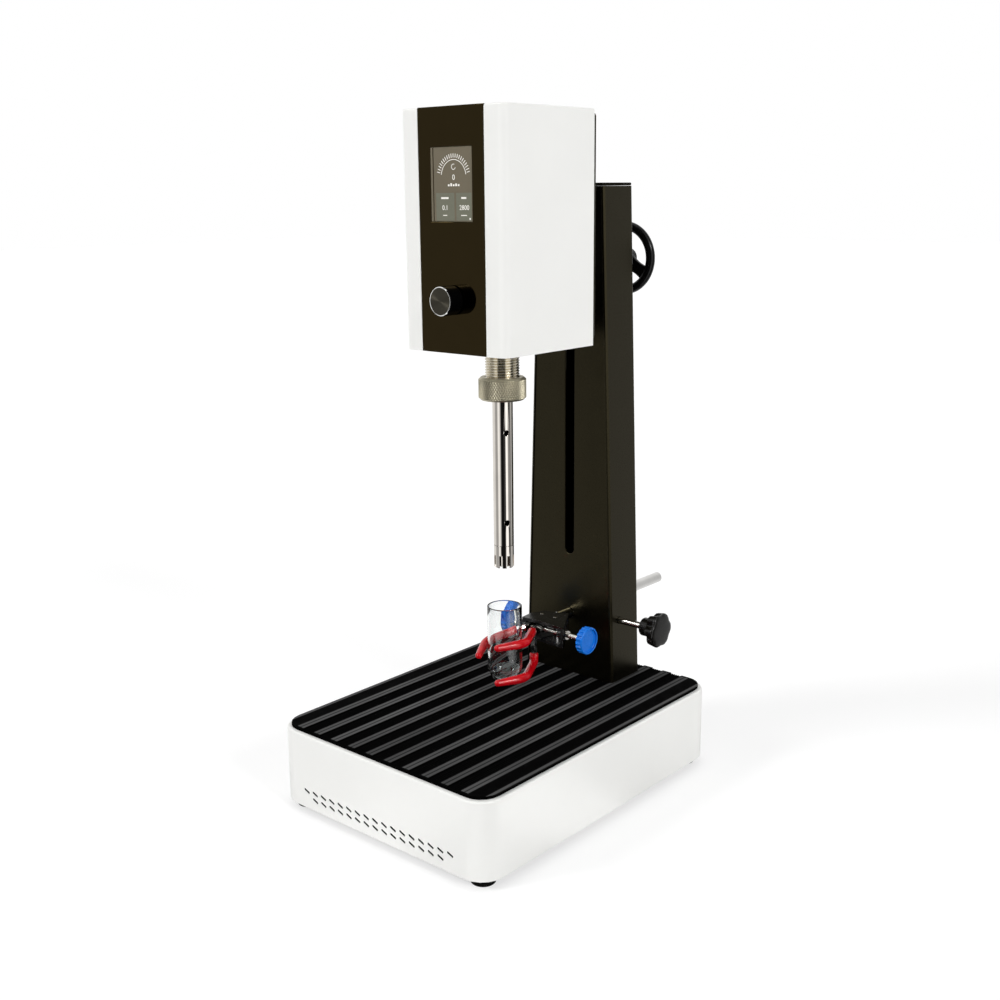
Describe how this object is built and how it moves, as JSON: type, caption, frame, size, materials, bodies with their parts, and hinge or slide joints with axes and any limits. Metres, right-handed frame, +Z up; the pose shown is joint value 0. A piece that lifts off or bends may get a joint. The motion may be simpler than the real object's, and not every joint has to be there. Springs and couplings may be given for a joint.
{
  "type": "high-speed homogenizer",
  "caption": "Bench homogenizer: a motor head with display and knob rides a slotted column above a ribbed base, its slotted probe over a glass tube held by a sleeved clamp.",
  "frame": {"origin": "on the bench top, under the centre of the base", "axes": "+Z up, -Y towards the front with the display, +X to the operator's right as they face it from the front"},
  "size_m": [0.246, 0.4143, 0.6004],
  "materials": {
    "white_paint": "satin",
    "black_paint": "satin",
    "black_gloss": "gloss",
    "black_rubber": "satin",
    "black_plastic": "satin",
    "screen": "gloss",
    "bright_steel": "polished",
    "dull_steel": "satin",
    "aluminium": "satin",
    "board": "satin",
    "red_vinyl": "gloss",
    "blue_plastic": "satin",
    "clear_glass": "polished"
  },
  "bodies": {
    "stand": {"base_housing": "white_paint", "base_plate": "black_paint", "foot_front_left": "black_rubber", "foot_front_right": "black_rubber", "foot_rear_left": "black_rubber", "foot_rear_right": "black_rubber", "ribbed_mat": "black_rubber", "power_supply": "aluminium", "power_inlet": "black_plastic", "switch_bezel": "black_plastic", "column_shell": "black_paint", "column_front_plate": "black_paint", "column_cap": "black_paint", "column_foot": "aluminium", "guide_rod_left": "bright_steel", "guide_rod_right": "bright_steel", "rack": "bright_steel", "rod_clamp_block": "aluminium"},
    "head": {"carriage": "aluminium", "pinion_bearing": "dull_steel", "head_shell": "white_paint", "front_panel": "black_gloss", "display_module": "screen", "control_board": "board", "head_back_plate": "black_paint", "head_bottom_plate": "white_paint", "motor_housing": "dull_steel", "lower_bearing": "bright_steel", "upper_bearing": "bright_steel", "encoder_body": "aluminium", "threaded_collar": "bright_steel", "probe_tube": "bright_steel", "stator_head": "bright_steel"},
    "handwheel": {"pinion_shaft": "bright_steel", "handwheel": "black_plastic"},
    "spindle": {"motor_shaft": "bright_steel", "drive_coupling": "black_plastic", "rotor": "bright_steel"},
    "knob_plunger": {"encoder_plunger": "dull_steel"},
    "knob": {"encoder_shaft": "aluminium", "knob_body": "black_gloss", "knob_face": "aluminium"},
    "nut": {"knurled_nut": "dull_steel"},
    "vessel_clamp": {"clamp_rod": "bright_steel", "clamp_body": "black_paint", "jaw_pin_left": "bright_steel", "jaw_pin_right": "bright_steel", "glass_tube": "clear_glass"},
    "star_screw": {"star_screw": "bright_steel", "star_knob": "black_plastic"},
    "right_jaw": {"jaw_right": "bright_steel", "sleeve_right_upper": "red_vinyl", "sleeve_right_lower": "red_vinyl"},
    "left_jaw": {"jaw_left": "bright_steel", "sleeve_left_single": "red_vinyl"},
    "right_thumb_screw": {"thumb_screw_right": "bright_steel", "thumb_knob_right": "blue_plastic"},
    "left_thumb_screw": {"thumb_screw_left": "bright_steel", "thumb_knob_left": "blue_plastic"},
    "rocker": {"rocker_switch": "black_plastic"}
  },
  "joints": [
    {"name": "head_lift", "type": "slide", "parent": "stand", "child": "head", "axis": [0, 0, 1], "range_m": [-0.092, 0.012]},
    {"name": "handwheel_turn", "type": "hinge", "parent": "head", "child": "handwheel", "pos_m": [0.017, 0.1606, 0.473], "axis": [0, -1, 0], "range_deg": [-586, 77]},
    {"name": "spindle_spin", "type": "hinge", "parent": "head", "child": "spindle", "pos_m": [0, 0.0056, 0.4135], "axis": [0, 0, 1], "continuous": true},
    {"name": "knob_press", "type": "slide", "parent": "head", "child": "knob_plunger", "axis": [0, 1, 0], "range_m": [0, 0.0006], "stiffness_N_per_m": 2500, "springref_m": -0.0006},
    {"name": "knob_turn", "type": "hinge", "parent": "knob_plunger", "child": "knob", "pos_m": [0, -0.0549, 0.4478], "axis": [0, -1, 0], "continuous": true},
    {"name": "nut_turn", "type": "hinge", "parent": "head", "child": "nut", "pos_m": [0, 0.0056, 0.3585], "axis": [0, 0, -1], "range_deg": [0, 180]},
    {"name": "rod_slide", "type": "slide", "parent": "stand", "child": "vessel_clamp", "axis": [0, -1, 0], "range_m": [-0.004, 0.06]},
    {"name": "star_screw_turn", "type": "hinge", "parent": "stand", "child": "star_screw", "pos_m": [0.078, 0.113, 0.1385], "axis": [1, 0, 0], "range_deg": [-360, 0]},
    {"name": "right_jaw_swing", "type": "hinge", "parent": "vessel_clamp", "child": "right_jaw", "pos_m": [0.008, 0.0695, 0.144], "axis": [0, 0, 1], "range_deg": [0, 10]},
    {"name": "left_jaw_swing", "type": "hinge", "parent": "vessel_clamp", "child": "left_jaw", "pos_m": [-0.008, 0.0695, 0.144], "axis": [0, 0, -1], "range_deg": [0, 8]},
    {"name": "right_thumb_turn", "type": "hinge", "parent": "vessel_clamp", "child": "right_thumb_screw", "pos_m": [0.0522, 0.054, 0.136], "axis": [-1, 0, 0], "range_deg": [0, 975]},
    {"name": "left_thumb_turn", "type": "hinge", "parent": "vessel_clamp", "child": "left_thumb_screw", "pos_m": [-0.03, 0.054, 0.136], "axis": [1, 0, 0], "range_deg": [0, 780]},
    {"name": "rocker_rock", "type": "hinge", "parent": "stand", "child": "rocker", "pos_m": [-0.005, 0.1608, 0.04], "axis": [0, 0, 1], "range_deg": [-14, 0]}
  ],
  "couplings": [
    {"joint": "handwheel_turn", "follows": "head_lift", "rad_per_m": 111.11},
    {"joint": "right_thumb_turn", "follows": "right_jaw_swing", "ratio": 97.389},
    {"joint": "left_thumb_turn", "follows": "left_jaw_swing", "ratio": 97.389}
  ]
}
